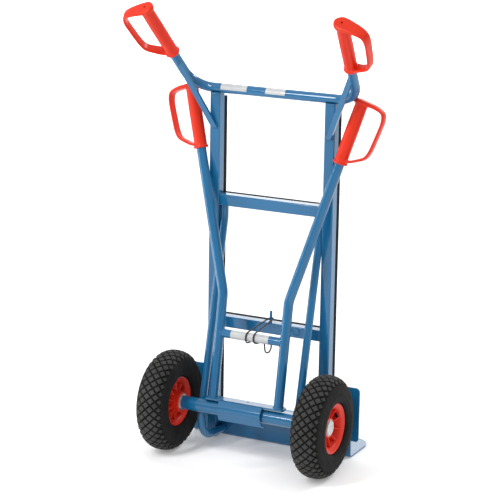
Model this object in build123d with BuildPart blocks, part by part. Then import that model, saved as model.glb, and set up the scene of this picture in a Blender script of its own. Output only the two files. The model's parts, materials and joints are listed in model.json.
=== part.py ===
"""Two-handled hand truck: a tubular frame on two pneumatic wheels, with a second pair of grips on a
lever frame that tilts about the axle. Millimetres. X runs across the truck, +Y towards the load,
+Z up, and the origin is on the floor at the middle of the truck's footprint.
"""

from build123d import *
from math import cos, pi, radians, sin, tan
import os

os.makedirs("parts", exist_ok=True)

# ---------------------------------------------------------------- driving dimensions
SIDES = {"left": -1, "right": 1}

# Wheels
tyre_radius = 130
tyre_width = 88
wheel_x = 219  # mid-plane of each wheel, from the truck's middle
axle_z = tyre_radius
axle_setback = 123  # axle behind the rear face of the uprights

# Toe plate
plate_thickness = 5
plate_half_width = 228
plate_height = 100
toe_reach = 170  # front edge ahead of the rear face of the uprights
toe_corner = 45
plate_bend = 10
plate_top_corner = 6

# The footprint runs from the back of the tyres to the front of the toe, and its middle is Y = 0.
back_y = (axle_setback + tyre_radius - toe_reach) / 2  # rear face of the uprights
axle_y = back_y - axle_setback

# Uprights and crossbars, rectangular tube
stile_width = 28
stile_depth = 28
stile_outer_x = 173
stile_bottom = 4
stile_top = 918
box_wall = 2
box_corner = 3
stile_inner_x = stile_outer_x - stile_width
stile_x = stile_outer_x - stile_width / 2
front_y = back_y + stile_depth
stile_y = back_y + stile_depth / 2
crossbar_tops = {"upper": 657, "middle": 336, "lower": plate_height}
crossbar_height = 29

# Rubber strips on the load side
strip_thickness = 16
strip_top = 905
strip_corner = 2

# Handle tube across the top, with a bent-back arm each side
tube_radius = 12.5
tube_wall = 2
handle_z = 928
handle_corner_x = 228
handle_bend = 64
handle_arm = Vector(0.12, -0.659, 0.743).normalized()

# Wheel guards beside the uprights
ear_outer_x = 251
ear_bottom = 49
ear_top = 192
ear_thickness = 4
ear_top_corner = 12
ear_bottom_corner = 8

# Side stays: down from under the upper crossbar, past the front of the axle, and forward to the plate
stay_radius = 10
stay_wall = 2
stay_x = stile_inner_x - stay_radius
stay_top = (back_y + 15.5, crossbar_tops["upper"] - crossbar_height)
stay_elbow = (back_y + 15.5, 595)
stay_corner = (back_y - 117, 33.5)
stay_foot = (front_y, 23.3)
stay_bends = (60, 60)

# Struts between the uprights and the arms of the handle tube
strut_width = 14
strut_depth = 8
strut_foot = (160, back_y - 3, 834)
strut_bottom = 829
strut_below_grip = 20  # along the arm, from the grip's flange

# Axle
axle_tube_radius = 17.75
axle_tube_wall = 3.5
axle_tube_half = 175.5
shaft_radius = 10
running_gap = 0.05
plug_length = 25

# Lever frame: two tubes in a plane through the axle, leaning forward by lever_lean
lever_lean = 0.18  # forward per unit of height
lever_x = 92
lever_bend_z = 421
lever_splay = 0.286  # outward per unit of height above the bend
lever_bend = 70
lever_crossbar_z = 320
lever_crossbar_radius = 11
lever_crossbar_wall = 1.8
foot_bar_half = 110
foot_bar_thickness = 5
foot_bar_rear = axle_y - 11
foot_bar_front = axle_y + 16
foot_bar_bottom = axle_z + 22.5
foot_bar_top = foot_bar_bottom + foot_bar_thickness
foot_bar_corner = 5
foot_bar_hole = (6, axle_y + 5)
foot_bar_hole_radius = 2.5

# Pivot sleeve between two lugs, with the pedal plate wrapped round them
sleeve_radius = 20
pedal_left_x = -66
pedal_right_x = 55
pedal_thickness = 3.5
pedal_edge = (axle_y - 12.4, axle_z + 25.2)
pedal_nose = (axle_y - 28, axle_z + 8.5)
pedal_toe = (axle_y - 13.5, axle_z - 25)
pedal_bend = 16
pedal_tab = (8, 5)  # sideways from the plate's right end, and up from its toe
lug_thickness = 4
lug_inset = 8
lug_outline = [  # from the axle, in Y and Z
    (14, 22.5),
    (-11.1, 22.5),
    (-12.4, 24),
    (-26.2, 7.6),
    (-13.3, -23.5),
    (-4, -19),
    (17, 8),
]

# Grips, all four alike; heights are along the grip from its flange
grip_length = 171
grip_radius = 15
grip_flange_radius = 19
grip_flange_thickness = 5
grip_cap_radius = 17
grip_cap_height = 15
grip_hole_radius = 3
tube_end = grip_length - grip_cap_height  # the tube stops under the cap
guard_thickness = 6
guard_width = 24
guard_reach = 67
guard_foot = (8, 8)
guard_low = (guard_reach - 4, 38)
guard_high = (guard_reach + 1, grip_length - 12)
guard_head = (8, grip_length - 9)
guard_bends = (24, 28)
upper_guard = Vector(0.966, -0.13, -0.239)  # roughly the way that the guard faces
lower_guard_turn = 5  # forward from the lever frame's plane, degrees
upper_grip_z = 1020
lower_grip_z = 773

# Blank labels wrapped part of the way round the handle tube and the lever's crossbar
label_skin = 0.3
label_gap = 0.05
handle_labels = {"left": (-144.8, -71.5), "right": (-19.5, 34.5)}
lever_label_ends = (-56, 50)
handle_label_turn = (-8, 82)  # degrees up from straight back
lever_label_turn = (-85, 95)

# Hook pin for the elastic, on the middle crossbar
hook_radius = 3.5
hook_x = 7
hook_y = back_y + 5
hook_top = 368
hook_round = 1.5

# Elastic band
elastic_radius = 2
elastic_gap = 0.4
elastic_z = 347  # on the hook pin

# Wheel details, along the axle from the wheel's mid-plane, outboard positive
hub_inner = -41
hub_outer = 17
hub_radius = 26
bearing_radius = 21
bearing_width = 12
bearing_race = 3
bearing_shield_depth = 1.6
rim_flange_radius = 64
rim_flange_x = 30
rim_seat_radius = 58
rim_well_radius = 53
rim_wall = 4.5
web_thickness = 6
rib_count = 10
rib_thickness = 4
tyre_wall = 7
tube_skin = 2
cap_radius = 19
cap_thickness = 3
cap_gap = 0.3
washer_thickness = 2.1
washer_radius = 18
washer_start = hub_inner - 0.3 - washer_thickness
valve_radius = 4
valve_rise = (10, 48)
valve_tip = (25, 36)
valve_turn = -54  # degrees from straight up, about the axle


# ---------------------------------------------------------------- shared makers
def point(x, y_z):
    """A point from its X and its (Y, Z)."""
    return (x, y_z[0], y_z[1])


def across(x):
    """Plane facing +X at a given X, with its own axes along Y and Z."""
    return Plane(origin=(x, 0, 0), x_dir=(0, 1, 0), z_dir=(1, 0, 0))


def round_bar(points, bends, radius, wall=0):
    """A round tube, or a solid bar where wall is 0, along straight runs joined by tangent arcs."""
    with BuildPart() as bar:
        with BuildLine() as route:
            FilletPolyline(*points, radius=bends)
        with BuildSketch(Plane(origin=route.line @ 0, z_dir=route.line % 0)):
            Circle(radius)
            if wall:
                Circle(radius - wall, mode=Mode.SUBTRACT)
        sweep(path=route.line)
    return bar


def ring(x_start, x_end, centre_y, centre_z, outer_radius, inner_radius=0):
    """A disc or ring about an axis along X."""
    with BuildPart() as disc:
        with BuildSketch(Plane(origin=(x_start, centre_y, centre_z), z_dir=(1, 0, 0))):
            Circle(outer_radius)
            if inner_radius:
                Circle(inner_radius, mode=Mode.SUBTRACT)
        extrude(amount=x_end - x_start)
    return disc


def label(ends, centre_y, centre_z, radius, turn):
    """A thin label on a tube along X, between two angles up from the tube's rear."""
    start, end = turn
    with BuildPart() as wrap:
        with BuildSketch(Plane(origin=(ends[0], centre_y, centre_z), x_dir=(0, -1, 0), z_dir=(1, 0, 0))):
            with BuildLine():
                outer = CenterArc((0, 0), radius + label_gap + label_skin, -start, start - end)
                inner = CenterArc((0, 0), radius + label_gap, -start, start - end)
                Line(outer @ 0, inner @ 0)
                Line(outer @ 1, inner @ 1)
            make_face()
        extrude(amount=ends[1] - ends[0])
    return wrap


def lever_y(z):
    """Y of the lever frame's plane at a height."""
    return axle_y + lever_lean * (z - axle_z)


def save(built, name):
    """Label a sub-part and write it as its own STEP file."""
    built.part.label = name
    export_step(built.part, f"parts/{name}.step")


# ---------------------------------------------------------------- toe plate and wheel guards
with BuildPart() as toe_plate:
    middle = plate_thickness / 2
    with BuildSketch(Plane.YZ):
        with BuildLine():
            FilletPolyline(
                (front_y + middle, plate_height),
                (front_y + middle, middle),
                (back_y + toe_reach, middle),
                radius=plate_bend,
            )
        trace(line_width=plate_thickness)
    extrude(amount=plate_half_width, both=True)
    toe_corners = toe_plate.edges().filter_by(Axis.Z).group_by(Axis.Y)[-1]
    fillet(toe_corners, toe_corner)
    top_corners = toe_plate.edges().filter_by(Axis.Y).group_by(Axis.Z)[-1]
    fillet(top_corners, plate_top_corner)
toe_plate.part.label = "toe_plate"
export_step(toe_plate.part, "parts/toe_plate.step")

for name, side in SIDES.items():
    ear_x = side * (stile_outer_x + ear_outer_x) / 2
    ear_z = (ear_bottom + ear_top) / 2
    with BuildPart() as wheel_guard:
        with BuildSketch(Plane(origin=(ear_x, front_y, ear_z), x_dir=(1, 0, 0), z_dir=(0, -1, 0))):
            Rectangle(ear_outer_x - stile_outer_x, ear_top - ear_bottom)
        extrude(amount=ear_thickness)
        for level, corner_radius in ((-1, ear_top_corner), (0, ear_bottom_corner)):
            corners = wheel_guard.edges().filter_by(Axis.Y).sort_by(lambda e: side * e.center().X)
            fillet(corners[-2:].sort_by(Axis.Z)[level], corner_radius)
    save(wheel_guard, f"{name}_wheel_guard")

# ---------------------------------------------------------------- handle tube
corner = Vector(handle_corner_x, stile_y, handle_z)
upper_foot = corner + handle_arm * ((upper_grip_z - handle_z) / handle_arm.Z)
tip = upper_foot + handle_arm * tube_end
handle_points = [
    (-tip.X, tip.Y, tip.Z),
    (-corner.X, corner.Y, corner.Z),
    (corner.X, corner.Y, corner.Z),
    (tip.X, tip.Y, tip.Z),
]
top_handle_tube = round_bar(handle_points, handle_bend, tube_radius, tube_wall)
handle_envelope = round_bar(handle_points, handle_bend, tube_radius)
top_handle_tube.part.label = "top_handle_tube"
export_step(top_handle_tube.part, "parts/top_handle_tube.step")

for name, ends in handle_labels.items():
    save(label(ends, stile_y, handle_z, tube_radius, handle_label_turn), f"{name}_handle_label")

# ---------------------------------------------------------------- uprights and crossbars
for name, side in SIDES.items():
    with BuildPart() as stile:
        with BuildSketch(Plane((side * stile_x, stile_y, stile_bottom))):
            RectangleRounded(stile_width, stile_depth, box_corner)
            RectangleRounded(
                stile_width - 2 * box_wall,
                stile_depth - 2 * box_wall,
                box_corner - box_wall,
                mode=Mode.SUBTRACT,
            )
        extrude(amount=stile_top - stile_bottom)
        add(handle_envelope.part, mode=Mode.SUBTRACT)
    save(stile, f"{name}_stile")

    with BuildPart() as stile_strip:
        with BuildSketch(Plane((side * stile_x, front_y + strip_thickness / 2, plate_height))):
            Rectangle(stile_width, strip_thickness)
            fillet(vertices().group_by(Axis.Y)[-1], strip_corner)
        extrude(amount=strip_top - plate_height)
    save(stile_strip, f"{name}_stile_strip")

for name, top in crossbar_tops.items():
    bar_plane = Plane(
        origin=(-stile_inner_x, stile_y, top - crossbar_height / 2), x_dir=(0, 1, 0), z_dir=(1, 0, 0)
    )
    with BuildPart() as crossbar:
        with BuildSketch(bar_plane):
            RectangleRounded(stile_depth, crossbar_height, box_corner)
            RectangleRounded(
                stile_depth - 2 * box_wall,
                crossbar_height - 2 * box_wall,
                box_corner - box_wall,
                mode=Mode.SUBTRACT,
            )
        extrude(amount=2 * stile_inner_x)
    save(crossbar, f"{name}_crossbar")

for name in ("upper", "middle"):
    strip_plane = Plane(
        origin=(-stile_inner_x, front_y + strip_thickness / 2, crossbar_tops[name] - crossbar_height / 2),
        x_dir=(0, 1, 0),
        z_dir=(1, 0, 0),
    )
    with BuildPart() as crossbar_strip:
        with BuildSketch(strip_plane):
            Rectangle(strip_thickness, crossbar_height)
            fillet(vertices().group_by(Axis.Y)[-1], strip_corner)
        extrude(amount=2 * stile_inner_x)
    save(crossbar_strip, f"{name}_crossbar_strip")

with BuildPart() as hook_pin:
    with BuildSketch(Plane((hook_x, hook_y, crossbar_tops["middle"]))):
        Circle(hook_radius)
    extrude(amount=hook_top - crossbar_tops["middle"])
    fillet(hook_pin.faces().sort_by(Axis.Z)[-1].edges(), hook_round)
hook_pin.part.label = "hook_pin"
export_step(hook_pin.part, "parts/hook_pin.step")

# ---------------------------------------------------------------- axle, stays and struts
axle_tube = ring(
    -axle_tube_half, axle_tube_half, axle_y, axle_z, axle_tube_radius, axle_tube_radius - axle_tube_wall
)
save(axle_tube, "axle_tube")

shaft_end = wheel_x + hub_outer + cap_gap + cap_thickness / 2
axle_shaft = ring(-shaft_end, shaft_end, axle_y, axle_z, shaft_radius)
save(axle_shaft, "axle_shaft")

for name, side in SIDES.items():
    plug_end = side * axle_tube_half
    plug_start = side * (axle_tube_half - plug_length)
    axle_plug = ring(plug_start, plug_end, axle_y, axle_z, axle_tube_radius - axle_tube_wall, shaft_radius)
    save(axle_plug, f"{name}_axle_plug")

    run = Vector(0, stay_foot[0] - stay_corner[0], stay_foot[1] - stay_corner[1])
    beyond = Vector(*point(side * stay_x, stay_foot)) + run.normalized() * stay_radius
    stay_points = [
        point(side * stay_x, stay_top),
        point(side * stay_x, stay_elbow),
        point(side * stay_x, stay_corner),
        (beyond.X, beyond.Y, beyond.Z),
    ]
    stay_tube = round_bar(stay_points, stay_bends, stay_radius, stay_wall)
    with BuildPart() as side_stay:
        add(stay_tube.part)
        split(bisect_by=Plane(origin=(0, front_y, 0), z_dir=(0, 1, 0)), keep=Keep.BOTTOM)
    save(side_stay, f"{name}_side_stay")

    strut_head = upper_foot - handle_arm * strut_below_grip
    head = Vector(side * strut_head.X, strut_head.Y, strut_head.Z)
    foot = Vector(side * strut_foot[0], strut_foot[1], strut_foot[2])
    along = (head - foot).normalized()
    strut_start = foot - along * strut_width
    with BuildPart() as handle_strut:
        with BuildSketch(Plane(origin=strut_start, x_dir=(along.Z, 0, -along.X), z_dir=along)):
            Rectangle(strut_width, strut_depth)
        extrude(amount=(head - strut_start).length)
        split(bisect_by=Plane(origin=(0, back_y, 0), z_dir=(0, 1, 0)), keep=Keep.BOTTOM)
        split(bisect_by=Plane.XY.offset(strut_bottom), keep=Keep.TOP)
        add(handle_envelope.part, mode=Mode.SUBTRACT)
    save(handle_strut, f"{name}_handle_strut")

# ---------------------------------------------------------------- lever frame
lever_axis = Vector(lever_splay, lever_lean, 1).normalized()
lever_rise = Vector(0, lever_lean, 1).normalized()
lower_foot = Vector(
    lever_x + lever_splay * (lower_grip_z - lever_bend_z), lever_y(lower_grip_z), lower_grip_z
)
lever_tip = lower_foot + lever_axis * tube_end
lever_start_z = foot_bar_top - tube_radius
lever_envelopes = {}
for name, side in SIDES.items():
    lever_points = [
        (side * lever_x, lever_y(lever_start_z), lever_start_z),
        (side * lever_x, lever_y(lever_bend_z), lever_bend_z),
        (side * lever_tip.X, lever_tip.Y, lever_tip.Z),
    ]
    lever_envelopes[name] = round_bar(lever_points, lever_bend, tube_radius)
    full_tube = round_bar(lever_points, lever_bend, tube_radius, tube_wall)
    with BuildPart() as lever_tube:
        add(full_tube.part)
        split(bisect_by=Plane.XY.offset(foot_bar_top), keep=Keep.TOP)
    save(lever_tube, f"{name}_lever_tube")

crossbar_y = lever_y(lever_crossbar_z)
with BuildPart() as lever_crossbar:
    with BuildSketch(Plane(origin=(-lever_x, crossbar_y, lever_crossbar_z), z_dir=(1, 0, 0))):
        Circle(lever_crossbar_radius)
        Circle(lever_crossbar_radius - lever_crossbar_wall, mode=Mode.SUBTRACT)
    extrude(amount=2 * lever_x)
    for envelope in lever_envelopes.values():
        add(envelope.part, mode=Mode.SUBTRACT)
lever_crossbar.part.label = "lever_crossbar"
export_step(lever_crossbar.part, "parts/lever_crossbar.step")

lever_label = label(lever_label_ends, crossbar_y, lever_crossbar_z, lever_crossbar_radius, lever_label_turn)
save(lever_label, "lever_label")

with BuildPart() as foot_bar:
    with BuildSketch(Plane((0, (foot_bar_rear + foot_bar_front) / 2, foot_bar_bottom))):
        RectangleRounded(2 * foot_bar_half, foot_bar_front - foot_bar_rear, foot_bar_corner)
    extrude(amount=foot_bar_thickness)
    with BuildSketch(Plane(point(foot_bar_hole[0], (foot_bar_hole[1], foot_bar_bottom)))):
        Circle(foot_bar_hole_radius)
    extrude(amount=foot_bar_thickness, mode=Mode.SUBTRACT)
foot_bar.part.label = "foot_bar"
export_step(foot_bar.part, "parts/foot_bar.step")

lug_starts = {"left": pedal_left_x + lug_inset, "right": pedal_right_x - lug_inset - lug_thickness}
pivot_bore = axle_tube_radius + running_gap
sleeve_start = lug_starts["left"] + lug_thickness
pivot_sleeve = ring(sleeve_start, lug_starts["right"], axle_y, axle_z, sleeve_radius, pivot_bore)
save(pivot_sleeve, "pivot_sleeve")

with BuildPart() as pedal_plate:
    with BuildSketch(across(pedal_left_x)):
        with BuildLine():
            FilletPolyline(pedal_edge, pedal_nose, pedal_toe, radius=pedal_bend)
        trace(line_width=pedal_thickness)
    extrude(amount=pedal_right_x - pedal_left_x)
    with BuildSketch(across(pedal_right_x)):
        with BuildLine():
            toe_end = Vector(*pedal_toe)
            Line(toe_end + (Vector(*pedal_nose) - toe_end).normalized() * pedal_tab[1], toe_end)
        trace(line_width=pedal_thickness)
    extrude(amount=pedal_tab[0])
pedal_plate.part.label = "pedal_plate"
export_step(pedal_plate.part, "parts/pedal_plate.step")

for name, lug_x in lug_starts.items():
    with BuildPart() as pedal_lug:
        with BuildSketch(Plane(origin=(lug_x, axle_y, axle_z), x_dir=(0, 1, 0), z_dir=(1, 0, 0))):
            Circle(sleeve_radius)
            with BuildLine():
                Polyline(*lug_outline, close=True)
            make_face()
            Circle(pivot_bore, mode=Mode.SUBTRACT)
        extrude(amount=lug_thickness)
        add(pedal_plate.part, mode=Mode.SUBTRACT)
    save(pedal_lug, f"{name}_pedal_lug")


# ---------------------------------------------------------------- grips
def grip(foot, axis, outward):
    """A moulded grip: a ringed sleeve with a flange and a cap, and a knuckle guard on its outer side."""
    section = Plane(origin=foot, x_dir=outward, z_dir=outward.cross(axis))
    with BuildPart() as moulding:
        with BuildSketch(section):
            with BuildLine():
                Polyline(
                    (0, 0),
                    (grip_flange_radius, 0),
                    (grip_flange_radius, grip_flange_thickness),
                    (grip_radius, grip_flange_thickness),
                    (grip_radius, tube_end - 2),
                    (grip_cap_radius, tube_end),
                    (grip_cap_radius, grip_length - 5),
                    (grip_cap_radius - 5, grip_length),
                    (0, grip_length),
                    close=True,
                )
            make_face()
        revolve(axis=Axis(foot, axis))
        with BuildSketch(section):
            with BuildLine():
                FilletPolyline(guard_foot, guard_low, guard_high, guard_head, radius=guard_bends)
            trace(line_width=guard_thickness)
        extrude(amount=guard_width / 2, both=True)
        with BuildSketch(Plane(origin=foot, z_dir=axis)):
            Circle(tube_radius + running_gap)
        extrude(amount=tube_end, mode=Mode.SUBTRACT)
        with BuildSketch(Plane(origin=foot, z_dir=axis)):
            Circle(grip_hole_radius)
        extrude(amount=grip_length, mode=Mode.SUBTRACT)
    return moulding


upper_outward = (upper_guard - handle_arm * upper_guard.dot(handle_arm)).normalized()
in_lever_plane = (Vector(1, 0, 0) * lever_axis.dot(lever_rise) - lever_rise * lever_axis.X).normalized()
lower_outward = in_lever_plane.rotate(Axis((0, 0, 0), lever_axis), lower_guard_turn)
for name, side in SIDES.items():
    for level, foot, axis, outward in (
        ("upper", upper_foot, handle_arm, upper_outward),
        ("lower", lower_foot, lever_axis, lower_outward),
    ):
        moulding = grip(
            Vector(side * foot.X, foot.Y, foot.Z),
            Vector(side * axis.X, axis.Y, axis.Z),
            Vector(side * outward.X, outward.Y, outward.Z),
        )
        save(moulding, f"{level}_{name}_grip")


# ---------------------------------------------------------------- wheels
def wheel_section(side, turn=0):
    """Plane through the axle, with its own X outboard from the wheel's mid-plane and its Y outwards,
    which is straight up where turn is 0.
    """
    normal = (0, -side * cos(radians(turn)), -side * sin(radians(turn)))
    return Plane(origin=(side * wheel_x, axle_y, axle_z), x_dir=(side, 0, 0), z_dir=normal)


def both_halves(points):
    """A closed outline's points on both sides of the wheel's mid-plane, from those on its outboard side."""
    return points + [(-x, r) for x, r in reversed(points)]


def wheel_ring(side, inner, outer, outer_radius, inner_radius):
    """A ring on the axle, between two distances outboard of the wheel's mid-plane."""
    start = side * (wheel_x + inner)
    end = side * (wheel_x + outer)
    return ring(start, end, axle_y, axle_z, outer_radius, inner_radius)


axle_axis = Axis((0, axle_y, axle_z), (1, 0, 0))
tyre_half = tyre_width / 2
tyre_outline = [
    (rim_flange_x - 5, rim_seat_radius + 0.5),
    (rim_flange_x - 2.5, rim_flange_radius + 2),
    (tyre_half - 3, rim_flange_radius + 12),
    (tyre_half, rim_flange_radius + 24),
    (tyre_half, tyre_radius - 20),
    (tyre_half - 5, tyre_radius - 9),
    (tyre_half - 15, tyre_radius - 2),
    (tyre_half - 30, tyre_radius),
]
cavity_outline = [
    (rim_flange_x - 13, rim_seat_radius + 0.5),
    (rim_flange_x - 10, rim_flange_radius + 4),
    (tyre_half - 3 - tyre_wall, rim_flange_radius + 16),
    (tyre_half - tyre_wall, rim_flange_radius + 26),
    (tyre_half - tyre_wall, tyre_radius - 22),
    (tyre_half - 17, tyre_radius - tyre_wall - 4),
    (tyre_half - 32, tyre_radius - tyre_wall - 2),
]
rim_outline = [
    (10, rim_well_radius),
    (22, rim_seat_radius),
    (rim_flange_x - 3.5, rim_seat_radius),
    (rim_flange_x - 2.5, rim_flange_radius),
    (rim_flange_x, rim_flange_radius),
    (rim_flange_x, rim_seat_radius - 2),
    (rim_flange_x - 6, rim_seat_radius - rim_wall),
    (10, rim_well_radius - rim_wall),
]
rib_outline = [
    (0, hub_radius - 1),
    (hub_outer - 2, hub_radius - 1),
    (rim_flange_x - 8, rim_well_radius - 2),
    (10, rim_well_radius - rim_wall + 1),
    (0, rim_well_radius - rim_wall + 1),
]
bearing_seats = {"inner": hub_inner, "outer": hub_outer - bearing_width}
cap_start = hub_outer + cap_gap
cap_end = cap_start + cap_thickness
cap_outline = [
    (cap_start, shaft_radius),
    (cap_start, cap_radius),
    (cap_end - 1, cap_radius),
    (cap_end, cap_radius - 1.5),
    (cap_end, 0),
    (cap_start + cap_thickness / 2, 0),
    (cap_start + cap_thickness / 2, shaft_radius),
]

for name, side in SIDES.items():
    section = wheel_section(side)
    with BuildPart() as tyre:
        with BuildSketch(section):
            with BuildLine():
                Polyline(*both_halves(tyre_outline), close=True)
            make_face()
            with BuildLine():
                Polyline(*both_halves(cavity_outline), close=True)
            make_face(mode=Mode.SUBTRACT)
        revolve(axis=axle_axis)
    save(tyre, f"{name}_tyre")

    with BuildPart() as inner_tube:
        with BuildSketch(section):
            with BuildLine():
                Polyline(*both_halves(cavity_outline), close=True)
            make_face()
            offset(amount=-0.3)
            offset(amount=-tube_skin, mode=Mode.SUBTRACT)
        revolve(axis=axle_axis)
    save(inner_tube, f"{name}_inner_tube")

    with BuildPart() as rim:
        with BuildSketch(section):
            with BuildLine():
                Polyline(*both_halves(rim_outline), close=True)
            make_face()
            with Locations(((hub_inner + hub_outer) / 2, 0)):
                Rectangle(hub_outer - hub_inner, hub_radius, align=(Align.CENTER, Align.MIN))
            Rectangle(web_thickness, rim_well_radius - 1, align=(Align.CENTER, Align.MIN))
            Rectangle(4 * hub_outer, bearing_radius - bearing_race, align=(Align.CENTER, Align.MIN),
                      mode=Mode.SUBTRACT)
            for seat in bearing_seats.values():
                with Locations((seat + bearing_width / 2, 0)):
                    Rectangle(bearing_width, bearing_radius, align=(Align.CENTER, Align.MIN),
                              mode=Mode.SUBTRACT)
        revolve(axis=axle_axis)
        for rib in range(rib_count):
            for face in (1, -1):
                with BuildSketch(wheel_section(side, 360 * rib / rib_count)):
                    with BuildLine():
                        Polyline(*[(face * x, r) for x, r in rib_outline], close=True)
                    make_face()
                extrude(amount=rib_thickness / 2, both=True)
    save(rim, f"{name}_rim")

    for seat_name, seat in bearing_seats.items():
        with BuildPart() as bearing:
            with BuildSketch(section):
                with Locations((seat + bearing_width / 2, shaft_radius + running_gap)):
                    Rectangle(
                        bearing_width,
                        bearing_radius - shaft_radius - running_gap,
                        align=(Align.CENTER, Align.MIN),
                    )
                for shield in (seat, seat + bearing_width):
                    with Locations((shield, (shaft_radius + bearing_radius) / 2)):
                        Rectangle(
                            bearing_shield_depth,
                            bearing_radius - shaft_radius - 2 * bearing_race,
                            mode=Mode.SUBTRACT,
                        )
            revolve(axis=axle_axis)
        save(bearing, f"{name}_{seat_name}_bearing")

    valve_plane = wheel_section(side, valve_turn)
    valve_base = valve_plane.from_local_coords(Vector(*valve_rise))
    valve_top = valve_plane.from_local_coords(Vector(*valve_tip))
    with BuildPart() as valve:
        with BuildSketch(Plane(origin=valve_base, z_dir=valve_top - valve_base)):
            Circle(valve_radius)
        extrude(amount=(valve_top - valve_base).length)
        chamfer(valve.faces().sort_by(Axis((0, 0, 0), (side, 0, 0)))[-1].edges(), 1)
        add(rim.part, mode=Mode.SUBTRACT)
    save(valve, f"{name}_valve")

    with BuildPart() as hub_cap:
        with BuildSketch(section):
            with BuildLine():
                Polyline(*cap_outline, close=True)
            make_face()
        revolve(axis=axle_axis)
    save(hub_cap, f"{name}_hub_cap")

    washer = wheel_ring(
        side, washer_start, washer_start + washer_thickness, washer_radius, shaft_radius + running_gap
    )
    save(washer, f"{name}_washer")

# ---------------------------------------------------------------- elastic band
# It loops round the hook pin, runs back over the lever's crossbar and under it, and its slack lies
# along the front of the crossbar with a bight hanging on the right. The two ends of the route meet
# under the bar.
pin_wrap = hook_radius + elastic_radius + elastic_gap
bar_wrap = lever_crossbar_radius + elastic_radius + elastic_gap
wrap_rear = crossbar_y - bar_wrap
wrap_front = crossbar_y + bar_wrap
wrap_top = lever_crossbar_z + bar_wrap
wrap_bottom = lever_crossbar_z - bar_wrap
pin_front = hook_y + pin_wrap
left_strand = -11
right_strand = 10.5
elastic_route = [
    (16, crossbar_y + 5.5, wrap_bottom),
    (right_strand, wrap_rear, wrap_bottom),
    (right_strand, wrap_rear, wrap_top - 1.5),
    (hook_x + pin_wrap, pin_front, elastic_z),
    (hook_x - pin_wrap, pin_front, elastic_z),
    (left_strand, wrap_rear, wrap_top - 1.5),
    (left_strand, wrap_rear, wrap_bottom - 1),
    (-5, wrap_front - 4, wrap_bottom + 0.4),
    (5, wrap_front + 2.4, wrap_bottom + 5),
    (18, wrap_front + 3.4, wrap_bottom + 8),
    (28.5, wrap_front + 0.4, wrap_bottom + 0.4),
    (33, wrap_front - 7, wrap_bottom - 10),
    (37.5, wrap_front - 12, wrap_bottom - 21),
    (47.5, wrap_front - 12.6, wrap_bottom - 20),
    (52.5, wrap_front - 9, wrap_bottom - 8.6),
    (50, wrap_front - 4, wrap_bottom + 2.4),
    (38, wrap_front - 3.3, wrap_bottom + 4.4),
    (27, wrap_front - 4, wrap_bottom + 3.7),
    (16.6, crossbar_y + 5.5, wrap_bottom),
]


def corner_radius(before, at, after):
    """Arc radius at a corner of the route: as large as its two runs allow, up to the bar's own wrap."""
    arriving = Vector(at) - Vector(before)
    leaving = Vector(after) - Vector(at)
    half_turn = radians(arriving.get_angle(leaving)) / 2
    return min(bar_wrap - 1, 0.45 * min(arriving.length, leaving.length) / tan(half_turn))


elastic_bends = [corner_radius(*elastic_route[i - 1:i + 2]) for i in range(1, len(elastic_route) - 1)]
for pin_corner in (2, 3):
    elastic_bends[pin_corner] = pin_wrap - 0.1
elastic_loop = round_bar(elastic_route, elastic_bends, elastic_radius)
with BuildLine() as elastic_line:
    FilletPolyline(*elastic_route, radius=elastic_bends)
elastic_length = sum(edge.length for edge in elastic_line.edges())
print("elastic radii", [round(bend, 1) for bend in elastic_bends])
print("elastic length", round(elastic_length, 1))
print("elastic volume over section times length",
      round(elastic_loop.part.volume / (pi * elastic_radius**2 * elastic_length), 4))
save(elastic_loop, "elastic_loop")
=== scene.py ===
"""Looks for the two-handled hand truck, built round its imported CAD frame. Metres, the CAD's axes:
X across the truck, +Y towards the load, +Z up.
"""

import json
from math import cos, pi, radians, sin, sqrt

import bmesh
import bpy
import numpy as np
from mathutils import Matrix, Vector


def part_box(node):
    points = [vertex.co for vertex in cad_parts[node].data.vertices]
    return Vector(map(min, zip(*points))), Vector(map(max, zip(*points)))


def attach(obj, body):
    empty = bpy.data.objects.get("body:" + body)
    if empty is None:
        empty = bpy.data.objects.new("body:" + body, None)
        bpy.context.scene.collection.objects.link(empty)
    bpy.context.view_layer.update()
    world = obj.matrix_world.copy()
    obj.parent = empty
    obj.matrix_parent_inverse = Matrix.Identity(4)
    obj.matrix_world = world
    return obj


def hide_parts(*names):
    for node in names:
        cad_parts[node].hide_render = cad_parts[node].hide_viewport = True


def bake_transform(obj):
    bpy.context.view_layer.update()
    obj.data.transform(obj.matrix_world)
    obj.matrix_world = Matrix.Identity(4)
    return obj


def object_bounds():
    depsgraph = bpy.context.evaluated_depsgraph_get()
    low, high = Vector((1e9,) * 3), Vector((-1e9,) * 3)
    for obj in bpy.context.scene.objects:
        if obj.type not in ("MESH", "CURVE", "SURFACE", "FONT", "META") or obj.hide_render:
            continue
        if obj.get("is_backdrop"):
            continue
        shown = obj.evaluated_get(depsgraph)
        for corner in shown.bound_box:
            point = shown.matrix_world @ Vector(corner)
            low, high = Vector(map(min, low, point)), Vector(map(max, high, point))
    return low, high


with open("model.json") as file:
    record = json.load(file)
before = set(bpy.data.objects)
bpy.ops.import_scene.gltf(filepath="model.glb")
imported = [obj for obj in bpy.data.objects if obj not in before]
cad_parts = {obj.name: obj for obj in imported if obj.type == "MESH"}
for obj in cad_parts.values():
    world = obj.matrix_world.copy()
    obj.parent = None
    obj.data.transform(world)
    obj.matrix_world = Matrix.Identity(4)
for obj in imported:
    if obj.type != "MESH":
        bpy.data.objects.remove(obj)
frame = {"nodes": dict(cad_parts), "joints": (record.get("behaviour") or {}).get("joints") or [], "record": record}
cad_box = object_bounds()
nodes = frame["nodes"]
scene = bpy.context.scene
MM = 0.001
SIDES = {"left": -1, "right": 1}


# ---------------------------------------------------------------- places read from the frame
def middle(node):
    """Middle of a CAD node's box."""
    low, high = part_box(node)
    return (low + high) / 2


def size(node):
    """Size of a CAD node's box."""
    low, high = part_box(node)
    return high - low


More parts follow.
